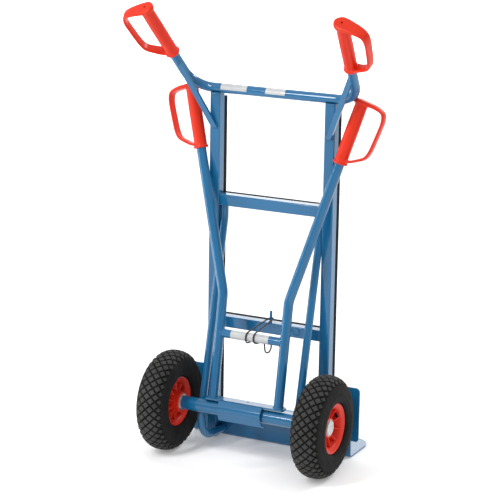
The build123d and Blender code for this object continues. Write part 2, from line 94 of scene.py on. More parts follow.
joint_at = {joint["name"]: Vector(joint["pos_m"]) for joint in frame["joints"]}
axle = joint_at["lever_tilt"]
back_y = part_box("left_stile")[0].y
front_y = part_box("left_stile")[1].y
TUBE_RADIUS = 12.5 * MM  # handle and lever tubes
LEVER_LEAN = 0.18  # lever tubes, forwards per unit of height
LEVER_SPLAY = 0.286  # lever tubes above their bend, outwards per unit of height
LEVER_FOOT_X = 92  # mm, lever tubes below their bend
LEVER_BEND_Z = 421  # mm


# ---------------------------------------------------------------- camera
CAMERA_PLACE = (2.1019, -4.2929, 1.7417)
CAMERA_LENS = 141.17  # mm on a sensor 36 mm wide


def make_camera():
    """Camera behind the truck, to its right and a little above."""
    turn, tilt, roll = radians(26.44), radians(14.15), radians(0.93)
    back = Vector((sin(turn) * cos(tilt), -cos(turn) * cos(tilt), sin(tilt)))
    right = Vector((cos(turn), sin(turn), 0))
    up = back.cross(right)
    x_axis = right * cos(roll) + up * sin(roll)
    y_axis = up * cos(roll) - right * sin(roll)
    data = bpy.data.cameras.new("camera")
    data.sensor_width = 36
    data.lens = CAMERA_LENS
    data.clip_end = 50
    camera = bpy.data.objects.new("camera", data)
    rotation = Matrix((x_axis, y_axis, back)).transposed().to_4x4()
    camera.matrix_world = Matrix.Translation(CAMERA_PLACE) @ rotation
    scene.collection.objects.link(camera)
    scene.camera = camera


make_camera()


# ---------------------------------------------------------------- node helpers
def new_material(name):
    """A material with its node tree and its shader."""
    material = bpy.data.materials.new(name)
    material.use_nodes = True
    return material, material.node_tree, material.node_tree.nodes["Principled BSDF"]


def add_node(tree, kind, **values):
    """A node, with its inputs set by name and its own settings by attribute."""
    node = tree.nodes.new(kind)
    for key, value in values.items():
        if key in node.inputs:
            node.inputs[key].default_value = value
        else:
            setattr(node, key.lower(), value)
    return node


def noise(tree, scale, detail, stretch=None):
    """Noise in object space, scale in cycles per metre, stretch a factor on it along each axis."""
    coords = tree.nodes.new("ShaderNodeTexCoord")
    source = coords.outputs["Object"]
    if stretch:
        mapping = tree.nodes.new("ShaderNodeMapping")
        mapping.inputs["Scale"].default_value = stretch
        tree.links.new(source, mapping.inputs["Vector"])
        source = mapping.outputs["Vector"]
    texture = add_node(tree, "ShaderNodeTexNoise", Scale=scale, Detail=detail)
    tree.links.new(source, texture.inputs["Vector"])
    return texture.outputs["Fac"]


def ramp(tree, source, stops):
    """Colour ramp; stops are (position, linear colour or grey)."""
    node = tree.nodes.new("ShaderNodeValToRGB")
    elements = node.color_ramp.elements
    while len(elements) < len(stops):
        elements.new(0.5)
    for element, (position, colour) in zip(elements, stops):
        element.position = position
        grey = not isinstance(colour, tuple)
        element.color = (colour,) * 3 + (1,) if grey else (*colour, 1)
    tree.links.new(source, node.inputs["Fac"])
    return node.outputs["Color"]


def bump(tree, shader, height, distance, strength, edge=0.0):
    """Bump on the shader, over edges that are rounded by edge metres."""
    node = add_node(tree, "ShaderNodeBump", Strength=strength, Distance=distance)
    tree.links.new(height, node.inputs["Height"])
    if edge:
        rounded = tree.nodes.new("ShaderNodeBevel")
        rounded.samples = 6
        rounded.inputs["Radius"].default_value = edge
        tree.links.new(rounded.outputs["Normal"], node.inputs["Normal"])
    tree.links.new(node.outputs["Normal"], shader.inputs["Normal"])


def painted_hollow_shade(tree, tone, dark, reach):
    """A tone with painted shade: it turns to the dark colour in hollows narrower than about reach metres, where
    shade falls.
    """
    hollow = add_node(tree, "ShaderNodeAmbientOcclusion", Distance=reach, Samples=6)
    mix = add_node(tree, "ShaderNodeMix", data_type="RGBA")
    openness = ramp(tree, hollow.outputs["AO"], [(0.45, 0.0), (0.85, 1.0)])
    tree.links.new(openness, mix.inputs["Factor"])
    colours = [socket for socket in mix.inputs if socket.type == "RGBA"]
    colours[0].default_value = (*dark, 1)
    tree.links.new(tone, colours[1])
    return [socket for socket in mix.outputs if socket.type == "RGBA"][0]


def tinted(colour, factor):
    """A colour made lighter or darker."""
    return tuple(channel * factor for channel in colour)


# ---------------------------------------------------------------- materials
def enamel(name, colour):
    """Stove-enamelled steel: a deep gloss with orange peel, slow colour drift and faint dust."""
    material, tree, shader = new_material(name)
    drift = noise(tree, 6, 4)
    tree.links.new(
        ramp(tree, drift, [(0.3, tinted(colour, 0.93)), (0.7, tinted(colour, 1.06))]),
        shader.inputs["Base Color"],
    )
    scuffs = noise(tree, 55, 6, stretch=(1, 1, 0.35))
    tree.links.new(ramp(tree, scuffs, [(0.35, 0.28), (0.75, 0.36)]), shader.inputs["Roughness"])
    shader.inputs["IOR"].default_value = 1.4
    shader.inputs["Specular IOR Level"].default_value = 0.15
    shader.inputs["Coat Weight"].default_value = 1.0
    shader.inputs["Coat IOR"].default_value = 1.5
    shader.inputs["Coat Roughness"].default_value = 0.07
    bump(tree, shader, noise(tree, 650, 2), 0.03 * MM, 0.2, 0.8 * MM)
    return material


def moulded(name, colour, edge=0.0):
    """Injection-moulded plastic with a fine spark-eroded grain."""
    material, tree, shader = new_material(name)
    drift = noise(tree, 14, 3)
    tree.links.new(
        ramp(tree, drift, [(0.3, tinted(colour, 0.94)), (0.7, tinted(colour, 1.05))]),
        shader.inputs["Base Color"],
    )
    wear = noise(tree, 90, 4)
    tree.links.new(ramp(tree, wear, [(0.35, 0.31), (0.7, 0.46)]), shader.inputs["Roughness"])
    shader.inputs["Specular IOR Level"].default_value = 0.3
    shader.inputs["Subsurface Weight"].default_value = 0.04
    shader.inputs["Subsurface Radius"].default_value = (0.004, 0.0015, 0.001)
    bump(tree, shader, noise(tree, 1100, 2), 0.06 * MM, 0.4, edge)
    return material


def rubber(name, colour, roughness, shine, grain=500, edge=0.0, hollow=0.0):
    """Black rubber with bloom in patches and a fine matt grain.

    Painted shade darkens it in hollows narrower than hollow, a width in metres.
    """
    material, tree, shader = new_material(name)
    bloom = noise(tree, 22, 5)
    tone = ramp(tree, bloom, [(0.3, tinted(colour, 0.8)), (0.75, tinted(colour, 1.35))])
    if hollow:
        # painted shade: ambient occlusion darkens the colour in hollows
        tone = painted_hollow_shade(tree, tone, tinted(colour, 0.12), hollow)
    tree.links.new(tone, shader.inputs["Base Color"])
    patches = noise(tree, 70, 4)
    tree.links.new(
        ramp(tree, patches, [(0.3, roughness - 0.08), (0.75, roughness + 0.12)]),
        shader.inputs["Roughness"],
    )
    shader.inputs["Specular IOR Level"].default_value = shine
    bump(tree, shader, noise(tree, grain, 4), 0.15 * MM, 0.5, edge)
    return material


def zinc(name, colour, roughness):
    """Zinc-plated steel with fine turning marks."""
    material, tree, shader = new_material(name)
    shader.inputs["Metallic"].default_value = 1.0
    spangle = noise(tree, 160, 5)
    tree.links.new(
        ramp(tree, spangle, [(0.3, tinted(colour, 0.85)), (0.7, tinted(colour, 1.1))]),
        shader.inputs["Base Color"],
    )
    tree.links.new(
        ramp(tree, noise(tree, 260, 3), [(0.3, roughness - 0.08), (0.7, roughness + 0.1)]),
        shader.inputs["Roughness"],
    )
    bump(tree, shader, noise(tree, 1500, 2), 0.02 * MM, 0.3, 0.3 * MM)
    return material


def blank_label(name, colour):
    """Plain white film with nothing printed on it, faintly banded in grey and slightly uneven."""
    material, tree, shader = new_material(name)
    tone = noise(tree, 40, 4, stretch=(1, 3, 3))
    tree.links.new(
        ramp(tree, tone, [(0.35, tinted(colour, 0.86)), (0.6, colour)]), shader.inputs["Base Color"]
    )
    shader.inputs["Roughness"].default_value = 0.35
    shader.inputs["Coat Weight"].default_value = 0.4
    bump(tree, shader, noise(tree, 220, 3), 0.05 * MM, 0.3)
    return material


def braid(name, colour):
    """Woven cover of an elastic cord, a fine diagonal check."""
    material, tree, shader = new_material(name)
    coords = tree.nodes.new("ShaderNodeTexCoord")
    check = add_node(tree, "ShaderNodeTexVoronoi", Scale=1400.0)
    tree.links.new(coords.outputs["Object"], check.inputs["Vector"])
    stops = [(0.1, tinted(colour, 1.6)), (0.7, tinted(colour, 0.5))]
    tree.links.new(ramp(tree, check.outputs["Distance"], stops), shader.inputs["Base Color"])
    shader.inputs["Roughness"].default_value = 0.75
    shader.inputs["Sheen Weight"].default_value = 0.25
    bump(tree, shader, check.outputs["Distance"], 0.15 * MM, 0.6)
    return material


BLUE = (0.009, 0.130, 0.290)
GRIP_RED = (0.70, 0.025, 0.004)
RIM_RED = (0.68, 0.028, 0.010)
# the carcass colour is darker than the tread blocks' to paint shade into the grooves; both are the same rubber
CARCASS_BLACK_WITH_GROOVE_SHADE = (0.012, 0.012, 0.0115)
TREAD_BLACK = (0.043, 0.042, 0.041)
STRIP_BLACK = (0.010, 0.010, 0.011)
blue_paint = enamel("blue_enamel", BLUE)
red_plastic = moulded("red_grip_plastic", GRIP_RED)
rim_plastic = moulded("red_rim_plastic", RIM_RED, edge=0.5 * MM)
# tyre_rubber has painted shade in its grooves: a darker colour than the tread blocks, and darkening in hollows
tyre_rubber = rubber("tyre_rubber", CARCASS_BLACK_WITH_GROOVE_SHADE, roughness=0.8, shine=0.15, hollow=8 * MM)
tread_rubber = rubber("tread_rubber", TREAD_BLACK, roughness=0.75, shine=0.2)
strip_rubber = rubber(
    "strip_rubber", STRIP_BLACK, roughness=0.9, shine=0.1, grain=900, edge=0.5 * MM
)
steel = zinc("zinc_steel", (0.62, 0.62, 0.60), 0.34)
cap_metal = zinc("cap_plate", (0.62, 0.63, 0.64), 0.42)
label_film = blank_label("blank_label_film", (0.52, 0.54, 0.54))
elastic_braid = braid("elastic_braid", (0.020, 0.020, 0.022))
slot_material = {
    "blue_paint": blue_paint,
    "black_rubber": strip_rubber,
    "tyre_rubber": tyre_rubber,
    "red_grip": red_plastic,
    "red_rim": rim_plastic,
    "bright_steel": steel,
    "grey_cap": cap_metal,
    "white_label": label_film,
    "elastic": elastic_braid,
}
for entry in frame["record"]["subparts"]:
    cad_node = nodes[entry["node"]]
    cad_node.data.materials.clear()
    cad_node.data.materials.append(slot_material[entry["material_slot"]])


# ---------------------------------------------------------------- mesh helpers
def add_piece(name, vertices, faces, material, body, sharp=40, replaced=()):
    """A mesh piece that rides on a body, smooth but for edges over sharp degrees."""
    mesh = bpy.data.meshes.new(name)
    mesh.from_pydata([tuple(v) for v in vertices], [], faces)
    mesh.validate()
    piece = bpy.data.objects.new(name, mesh)
    scene.collection.objects.link(piece)
    finish_piece(piece, material, body, sharp, replaced)
    return piece


def finish_piece(piece, material, body, sharp, replaced):
    """Material, shading, body and replaced CAD nodes of a piece."""
    mesh = piece.data
    mesh.materials.clear()
    mesh.materials.append(material)
    mesh.shade_smooth()
    mesh.set_sharp_from_angle(angle=radians(sharp))
    if body:
        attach(piece, body)
    if replaced:
        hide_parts(*replaced)


def baked(piece):
    """Applies a piece's modifiers to its mesh."""
    graph = bpy.context.evaluated_depsgraph_get()
    graph.update()
    mesh = bpy.data.meshes.new_from_object(piece.evaluated_get(graph))
    piece.modifiers.clear()
    piece.data = mesh


def smoothed(points):
    """An open polyline with its corners cut three times, ends kept."""
    points = np.array(points, float)
    for _ in range(3):
        before, after = points[:-1], points[1:]
        cut = np.empty((2 * len(before), points.shape[1]))
        cut[0::2] = 0.75 * before + 0.25 * after
        cut[1::2] = 0.25 * before + 0.75 * after
        points = np.vstack([points[:1], cut[1:-1], points[-1:]])
    return points


def grid_faces(rows, columns, wrap_rows=False):
    """Quads over closed rows of vertices stored row by row."""
    faces = []
    for i in range(rows if wrap_rows else rows - 1):
        for j in range(columns):
            a, b = (i + 1) % rows, (j + 1) % columns
            faces.append((i * columns + j, i * columns + b, a * columns + b, a * columns + j))
    return faces


def tube_mesh(path, radius, sides):
    """Vertices and faces of a closed tube along points, its frame carried without twist.

    The radius is a number, or one for each point.
    """
    path = np.array(path, float)
    radii = np.broadcast_to(radius, len(path))
    tangents = np.gradient(path, axis=0)
    tangents /= np.linalg.norm(tangents, axis=1)[:, None]
    normal = np.cross(tangents[0], (0.3, 0.2, 0.93))
    vertices = []
    for centre, tangent, reach in zip(path, tangents, radii):
        normal = normal - tangent * normal.dot(tangent)
        normal /= np.linalg.norm(normal)
        other = np.cross(tangent, normal)
        for k in range(sides):
            turn = 2 * pi * k / sides
            vertices.append(centre + reach * (cos(turn) * normal + sin(turn) * other))
    faces = grid_faces(len(path), sides)
    faces.append(tuple(reversed(range(sides))))
    faces.append(tuple(range((len(path) - 1) * sides, len(path) * sides)))
    return vertices, faces


def turned(profile, centre, side, segments, closed=False):
    """Vertices and faces of a profile of (distance outboard, radius), turned about the axle."""
    vertices = []
    for x, r in profile:
        for k in range(segments):
            turn = 2 * pi * k / segments
            y, z = centre.y + r * sin(turn), centre.z + r * cos(turn)
            vertices.append((centre.x + side * x, y, z))
    return vertices, grid_faces(len(profile), segments, wrap_rows=closed)


def facing_out(piece):
    """Turns a closed mesh's faces outwards."""
    mesh = bmesh.new()
    mesh.from_mesh(piece.data)
    bmesh.ops.recalc_face_normals(mesh, faces=mesh.faces)
    mesh.to_mesh(piece.data)
    mesh.free()


# ---------------------------------------------------------------- elastic band
ELASTIC_RADIUS = 2 * MM


def elastic():
    """The elastic: round the hook pin, over the lever's crossbar, under it, with a slack bight."""
    route = [
        Vector(place) * MM
        for place in (
            (16, -41.8, 306.6),
            (10.5, -60.7, 306.6),
            (10.5, -60.7, 331.9),
            (11.0, -36.7, 335.1),
            (12.4, 28.4, 343.8),
            (13.4, 52.9, 347),
            (0.6, 52.9, 347),
            (-1.5, 28.4, 343.8),
            (-8.4, -36.7, 335.1),
            (-11, -60.7, 331.9),
            (-11, -60.7, 305.6),
            (-5, -37.9, 307),
            (5, -31.5, 311.6),
            (18, -30.5, 314.6),
            (28.5, -33.5, 307),
            (33, -40.9, 296.6),
            (37.5, -45.9, 285.6),
            (47.5, -46.5, 286.6),
            (52.5, -42.9, 298),
            (50, -37.9, 309),
            (38, -37.2, 311),
            (27, -37.9, 310.3),
            (16.6, -41.8, 306.6),
        )
    ]
    curve = bpy.data.curves.new("elastic_line", "CURVE")
    curve.dimensions = "3D"
    spline = curve.splines.new("NURBS")
    spline.points.add(len(route) - 1)
    for control, place in zip(spline.points, route):
        control.co = (*place, 1)
    spline.order_u = 3
    spline.use_endpoint_u = True
    spline.resolution_u = 10
    line = bpy.data.objects.new("elastic_line", curve)
    scene.collection.objects.link(line)
    bpy.context.view_layer.update()
    centre = bpy.data.meshes.new_from_object(line)
    path = [tuple(v.co) for v in centre.vertices]
    bpy.data.objects.remove(line)
    vertices, faces = tube_mesh(path, ELASTIC_RADIUS, sides=14)
    piece = add_piece(
        "elastic_loop_cord", vertices, faces, elastic_braid, None,
        replaced=["elastic_loop"],
    )
    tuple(route[0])
    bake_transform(piece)


elastic()


# ---------------------------------------------------------------- wheels
TREAD_ROWS = 3  # each side of the middle one, the last one small
TREAD_COUNT = 36
TREAD_STEP = 12.0 * MM
TREAD_DEPTH = 4.0 * MM
TREAD_FILL = 0.73  # share of its cell that a block takes up
LAST_ROW_FILL = 0.56
INBOARD = 3 * MM  # crown's shift towards the truck
SHIFT_START, SHIFT_LENGTH = 68 * MM, 27 * MM  # radius where that shift begins, and how far it grows
SECTION_EXPONENT = 2.35  # of the superellipse from crown to shoulder


def tyre_section(half, radius):
    """Half of the tyre's outer line, from the crown to the bead, as (arc length, x, radius)."""
    rise, bead_x, bead_radius = 43 * MM, 29.5 * MM, 65 * MM
    upper = np.linspace(0, pi / 2, 60)
    power = 2 / SECTION_EXPONENT
    xs = half * np.sin(upper) ** power
    rs = radius - rise + rise * np.cos(upper) ** power
    lower = np.linspace(0, pi / 2, 30)[1:]
    waist = radius - rise
    xs = np.concatenate([xs, bead_x + (half - bead_x) * np.cos(lower)])
    rs = np.concatenate([rs, waist - (waist - bead_radius) * np.sin(lower)])
    steps = np.hypot(np.diff(xs), np.diff(rs))
    return np.concatenate([[0], np.cumsum(steps)]), xs, rs


def tyre(name, side):
    """A tyre: a smooth ridged carcass, with rows of diamond blocks standing on it."""
    low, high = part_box(f"{name}_tyre")
    centre = (low + high) / 2
    arc, xs, rs = tyre_section((high.x - low.x) / 2 - INBOARD, (high.z - low.z) / 2)
    pitch = 2 * pi / TREAD_COUNT
    tread_end = (TREAD_ROWS + 0.4) * TREAD_STEP

    def on_section(s, lift):
        """(x, radius) at a signed arc length from the crown, lifted along the normal."""
        reach = np.abs(s)
        x, r = np.interp(reach, arc, xs), np.interp(reach, arc, rs)
        step = 0.8 * MM
        dx = np.interp(reach + step, arc, xs) - np.interp(reach - step, arc, xs)
        dr = np.interp(reach + step, arc, rs) - np.interp(reach - step, arc, rs)
        norm = np.hypot(dx, dr) + 1e-12
        r = r + lift * dx / norm
        shift = INBOARD * np.clip((r - SHIFT_START) / SHIFT_LENGTH, 0, 1)
        return np.sign(s) * (x - lift * dr / norm) - shift, r

    def placed(s, turn, lift):
        """A place on the tyre, turned about the axle."""
        x, r = (float(v) for v in on_section(np.array(s, float), lift))
        return (centre.x + side * x, centre.y + r * sin(turn), centre.z + r * cos(turn))

    steps = np.linspace(-arc[-1], arc[-1], 97)
    fade = np.clip((tread_end + 4 * MM - np.abs(steps)) / (5 * MM), 0, 1)
    ridges = 0.0
    for height, from_bead, spread in ((0.9, 24, 1.6), (0.7, 9, 1.8)):
        away = (np.abs(steps) - arc[-1] + from_bead * MM) / (spread * MM)
        ridges = ridges + height * MM * np.exp(-(away**2))
    x, r = on_section(steps + 1e-9, ridges - TREAD_DEPTH * fade * fade * (3 - 2 * fade))
    profile = list(zip(x, r))
    seat = 0.24 * (high.x - low.x)
    profile += [(seat, rs[-1]), (-seat, rs[-1])]
    segments = 4 * TREAD_COUNT
    vertices, faces = turned(profile, centre, side, segments, closed=True)
    carcass_faces = len(faces)

    def block(s, turn, fill):
        """One diamond block: a bevelled pad standing on the carcass."""
        start, corners = len(vertices), 8
        rings = (
            (fill * 1.04, -TREAD_DEPTH - 0.4 * MM),
            (fill, -0.7 * MM),
            (fill * 0.93, -0.12 * MM),
            (fill * 0.80, 0.0),
        )
        for reach, lift in rings:
            for k in range(corners):
                angle = 2 * pi * k / corners
                pointed = 1.0 if k % 2 == 0 else 0.5
                along, across = cos(angle), sin(angle)
                scale = pointed / max(abs(along), abs(across))
                offset_s = reach * TREAD_STEP * scale * across
                offset_turn = reach * pitch / 2 * scale * along
                vertices.append(placed(s + offset_s, turn + offset_turn, lift))
        for ring_index in range(len(rings) - 1):
            first = start + corners * ring_index
            for k in range(corners):
                a, b = first + k, first + (k + 1) % corners
                faces.append((a, b, b + corners, a + corners))
        faces.append(tuple(start + corners * (len(rings) - 1) + k for k in range(corners)))

    for row in range(-TREAD_ROWS, TREAD_ROWS + 1):
        for step in range(TREAD_COUNT):
            turn = (step + (row % 2) / 2) * pitch
            block(row * TREAD_STEP, turn, LAST_ROW_FILL if abs(row) == TREAD_ROWS else TREAD_FILL)
    piece = add_piece(
        f"{name}_tyre_tread", vertices, faces, tyre_rubber, f"{name}_wheel",
        sharp=32, replaced=[f"{name}_tyre", f"{name}_inner_tube"],
    )
    # the blocks take the lighter tread colour, the carcass between them the colour with painted groove shade
    piece.data.materials.append(tread_rubber)
    for face in piece.data.polygons[carcass_faces:]:
        face.material_index = 1
    facing_out(piece)


RIB_PAIRS = 10


def rim(name, side):
    """Ribbed plastic rim: a dished flange each side, a hub barrel and ten pairs of ribs."""
    centre = Vector((side * abs(joint_at[f"{name}_wheel_spin"].x), axle.y, axle.z))
    # distance from the mid-plane and radius, mm
    half = [
        (9, 53.5), (20, 57), (24.5, 59.5), (26.5, 63.2), (28.3, 64), (29.9, 63.4), (30, 61.6),
        (28.6, 58.5), (25.6, 52.6), (24.2, 50.8), (22.4, 49.8), (5, 48.4), (3, 47),
    ]
    outboard = half + [(3, 28), (4.5, 26.4), (15.6, 25.6), (17, 24.4), (17, 21.3), (12, 21.1)]
    inboard = half + [(3, 30), (5, 27.2), (39.5, 25.6), (41, 24.4), (41, 21.3), (36, 21.1)]
    profile = [(x * MM, r * MM) for x, r in outboard]
    profile += [(12 * MM, 17.6 * MM), (-36 * MM, 17.6 * MM)]
    profile += [(-x * MM, r * MM) for x, r in reversed(inboard)]
    vertices, faces = turned(profile, centre, side, 96, closed=True)
    # outboard and inboard, how far a rib's edge stands from the mid-plane at the hub and the ring
    rib_sides = {1: (14.8, 22.6), -1: (26.0, 22.6)}
    for count in range(RIB_PAIRS):
        turn = 2 * pi * count / RIB_PAIRS
        outward = Vector((0, sin(turn), cos(turn)))
        across = Vector((0, cos(turn), -sin(turn)))
        for face, (at_hub, at_ring) in rib_sides.items():
            start = len(vertices)
            for r, x in ((25, at_hub), (35, at_hub * 0.5 + at_ring * 0.42), (50.5, at_ring)):
                for level, half_width in ((1, 2.4), (x - 1.2, 1.7), (x, 0.8)):
                    for sign in (-1, 1):
                        place = outward * r * MM + across * sign * half_width * MM
                        vertices.append(centre + place + Vector((side * face * level * MM, 0, 0)))
            for station in range(2):
                a, b = start + 6 * station, start + 6 * (station + 1)
                for p, q in ((0, 2), (2, 4), (4, 5), (5, 3), (3, 1), (1, 0)):
                    faces.append((a + p, a + q, b + q, b + p))
            for cap in (start, start + 12):
                faces.append((cap, cap + 2, cap + 4, cap + 5, cap + 3, cap + 1))
    piece = add_piece(
        f"{name}_ribbed_rim", vertices, faces, rim_plastic, f"{name}_wheel", sharp=35,
        replaced=[f"{name}_rim"],
    )
    facing_out(piece)


CAP_TRIM = 0.4 * MM  # off the radius of the node that a hub cap stands for


def hub_cap(name, side):
    """Pressed push-on cap with a rolled edge and a dimple."""
    low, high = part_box(f"{name}_hub_cap")
    inner = min(abs(low.x), abs(high.x))
    outer = max(abs(low.x), abs(high.x))
    radius = (high.z - low.z) / 2 - CAP_TRIM
    thick = outer - inner
    profile = [
        (0, 0.55 * radius), (0, radius - 0.3 * MM), (0.3 * MM, radius), (0.55 * thick, radius),
        (0.8 * thick, radius - 0.5 * MM), (0.9 * thick, radius - 1.5 * MM),
        (0.72 * thick, radius - 2.6 * MM), (0.72 * thick, 0.55 * radius),
        (0.95 * thick, 0.47 * radius), (thick, 0.4 * radius), (thick, 0.14 * radius),
        (0.85 * thick, 0.06 * radius), (0.8 * thick, 0.001 * radius),
    ]
    centre = Vector((side * inner, axle.y, axle.z))
    segments = 64
    vertices, faces = turned(profile, centre, side, segments)
    faces.append(tuple(range(segments)))
    piece = add_piece(
        f"{name}_pressed_cap", vertices, faces, cap_metal, "frame", sharp=50,
        replaced=[f"{name}_hub_cap"],
    )
    facing_out(piece)


def valve(name, side):
    """Rubber valve stem with its dust cap."""
    centre = Vector((side * abs(joint_at[f"{name}_wheel_spin"].x), axle.y, axle.z))
    stem = middle(f"{name}_valve")
    radial = Vector((0, stem.y - centre.y, stem.z - centre.z)).normalized()
    base = centre + Vector((side * 10 * MM, 0, 0)) + radial * 48 * MM
    tip = centre + Vector((side * 24.4 * MM, 0, 0)) + radial * 36.5 * MM
    path = [base.lerp(tip, t) for t in (0, 0.3, 0.5, 0.52, 0.56, 0.62, 0.94, 1.0)]
    radii = [r * MM for r in (4.0, 3.2, 2.8, 2.8, 3.4, 3.6, 3.6, 2.6)]
    vertices, faces = tube_mesh(path, radii, sides=20)
    add_piece(
        f"{name}_valve_stem", vertices, faces, strip_rubber, f"{name}_wheel",
        sharp=35, replaced=[f"{name}_valve"],
    )


for name, side in SIDES.items():
    tyre(name, side)
    rim(name, side)
    hub_cap(name, side)
    valve(name, side)


# ---------------------------------------------------------------- grips
UPPER_ARM = (0.12, -0.659, 0.743)  # direction of the handle tube's right arm
UPPER_GUARD = (0.966, -0.13, -0.239)
HANDLE_CORNER_X, HANDLE_CORNER_Z = 228 * MM, 928 * MM  # where the handle tube turns back
UPPER_GRIP_Z = 1020 * MM
LOWER_GRIP_Z = 773  # mm
LOWER_GUARD_TURN = radians(5)  # forwards out of the lever frame's plane
DRILL_RADIUS = 2.7 * MM
VOXEL = 1.1 * MM


def grip_frame(level, side):
    """Foot, axis and outward direction of a grip, from the tube that it sits on."""
    if level == "upper":
        axis = Vector((side * UPPER_ARM[0], UPPER_ARM[1], UPPER_ARM[2])).normalized()
        outward = Vector((side * UPPER_GUARD[0], UPPER_GUARD[1], UPPER_GUARD[2]))
        outward = (outward - axis * outward.dot(axis)).normalized()
        corner = Vector((side * HANDLE_CORNER_X, (back_y + front_y) / 2, HANDLE_CORNER_Z))
        foot = corner + axis * ((UPPER_GRIP_Z - corner.z) / axis.z)
    else:
        axis = Vector((side * LEVER_SPLAY, LEVER_LEAN, 1)).normalized()
        rise = Vector((0, LEVER_LEAN, 1)).normalized()
        outward = (Vector((side, 0, 0)) * axis.dot(rise) - rise * abs(axis.x)).normalized()
        forward = axis.cross(outward) * side
        outward = outward * cos(LOWER_GUARD_TURN) + forward * sin(LOWER_GUARD_TURN)
        foot_x = side * (LEVER_FOOT_X + LEVER_SPLAY * (LOWER_GRIP_Z - LEVER_BEND_Z)) * MM
        foot_z = LOWER_GRIP_Z * MM
        foot = Vector((foot_x, axle.y + LEVER_LEAN * (foot_z - axle.z), foot_z))
    return foot, axis, outward


def sleeve_mesh(placed):
    """Vertices and faces of a grip's sleeve, a turned closed solid."""
    # radius and distance along the grip, mm
    profile = [
        (0.5, 0.2), (17.8, 0.2), (19.0, 1.2), (19.0, 4.0), (17.8, 5.6), (16.6, 7.0), (16.2, 9.5),
        (16.2, 30), (16.4, 60), (16.6, 90), (16.4, 125), (16.2, 150), (16.2, 162), (0.5, 162),
    ]
    vertices, sides = [], 48
    for r, b in profile:
        for k in range(sides):
            turn = 2 * pi * k / sides
            vertices.append(placed(r * cos(turn), b, r * sin(turn)))
    faces = grid_faces(len(profile), sides)
    faces.append(tuple(range(sides)))
    faces.append(tuple(range((len(profile) - 1) * sides, len(profile) * sides)))
    return vertices, faces


def guard_mesh(placed, start):
    """Vertices and faces of a knuckle guard, a band whose ends widen into the cap and the flange.

    Its vertices are counted from start.
    """
    # outwards and along the grip, mm
    line = smoothed(
        [(-21, 161.6), (14, 161.6), (40, 160.8), (61.5, 155), (67.6, 135), (66.8, 110), (65.3, 82),
         (63.6, 56), (58, 36), (42, 25), (20, 11), (-19, 3)]
    )
    steps = np.linalg.norm(np.diff(line, axis=0), axis=1)
    along = np.concatenate([[0], np.cumsum(steps)])
    total = along[-1]
    cap_half, flange_half = 21.0, 18.8
    reach = np.concatenate(
        [np.geomspace(0.05, 4, 8), np.linspace(5, total - 5, 160), total - np.geomspace(4, 0.05, 8)]
    )
    line = np.stack([np.interp(reach, along, line[:, axis]) for axis in (0, 1)], axis=1)
    tangents = np.gradient(line, axis=0)
    tangents /= np.linalg.norm(tangents, axis=1)[:, None]
    # half-widths and half-thicknesses, by how far along the band they are
    widths = np.interp(
        reach, [0, 30, 85, 120, total - 80, total - 40, total],
        [cap_half, 20.2, 13.2, 12.2, 12.2, 14.5, flange_half],
    )
    thicks = np.interp(
        reach, [0, 32, 75, 110, total - 60, total - 25, total], [6.5, 6.2, 4.4, 3.9, 3.7, 3.4, 2.7]
    )
    vertices, section = [], 20
    for (a, b), (ta, tb), s, width, thick in zip(line, tangents, reach, widths, thicks):
        for end, radius in ((s, cap_half), (total - s, flange_half)):
            if end < radius:
                width = min(width, sqrt(radius**2 - (radius - end) ** 2))
        na, nb = -tb, ta
        for k in range(section):
            turn = 2 * pi * k / section
            w = abs(cos(turn)) ** 0.45 * np.sign(cos(turn)) * width
            h = abs(sin(turn)) ** 0.8 * np.sign(sin(turn)) * thick
            vertices.append(placed(a + na * h, b + nb * h, w))
    faces = [tuple(start + v for v in face) for face in grid_faces(len(line), section)]
    faces.append(tuple(start + v for v in range(section)))
    faces.append(tuple(start + (len(line) - 1) * section + v for v in range(section)))
    return vertices, faces


def mesh_object(name, vertices, faces):
    """A closed mesh in the scene, its faces turned outwards."""
    mesh = bpy.data.meshes.new(name)
    mesh.from_pydata([tuple(v) for v in vertices], [], faces)
    made = bpy.data.objects.new(name, mesh)
    scene.collection.objects.link(made)
    facing_out(made)
    return made


def grip(name, level, side):
    """A moulded grip: sleeve and guard merged into one skin, with a hole through the cap."""
    foot, axis, outward = grip_frame(level, side)
    across = outward.cross(axis)

    def placed(a, b, w):
        """A place so many mm outwards, along the axis and across."""
        return foot + outward * a * MM + axis * b * MM + across * w * MM

    vertices, faces = sleeve_mesh(placed)
    guard_vertices, guard_faces = guard_mesh(placed, len(vertices))
    piece = mesh_object(
        f"{level}_{name}_moulded_grip", vertices + guard_vertices, faces + guard_faces
    )
    remesh = piece.modifiers.new("union", "REMESH")
    remesh.mode = "VOXEL"
    remesh.voxel_size = VOXEL
    soften = piece.modifiers.new("soften", "SMOOTH")
    soften.factor = 0.5
    soften.iterations = 5
    baked(piece)
    drill_path = [foot + axis * b * MM for b in (146, 173)]
    drill = mesh_object("drill", *tube_mesh(drill_path, DRILL_RADIUS, sides=24))
    hole = piece.modifiers.new("hole", "BOOLEAN")
    hole.operation = "DIFFERENCE"
    hole.object = drill
    hole.solver = "EXACT"
    fewer = piece.modifiers.new("fewer", "DECIMATE")
    fewer.ratio = 0.35
    baked(piece)
    bpy.data.objects.remove(drill)
    body = "frame" if level == "upper" else "lever"
    finish_piece(piece, red_plastic, body, 50, [f"{level}_{name}_grip"])


for name, side in SIDES.items():
    for level in ("upper", "lower"):
        grip(name, level, side)


# ---------------------------------------------------------------- rubber strips
STRIP_RIBS = 5


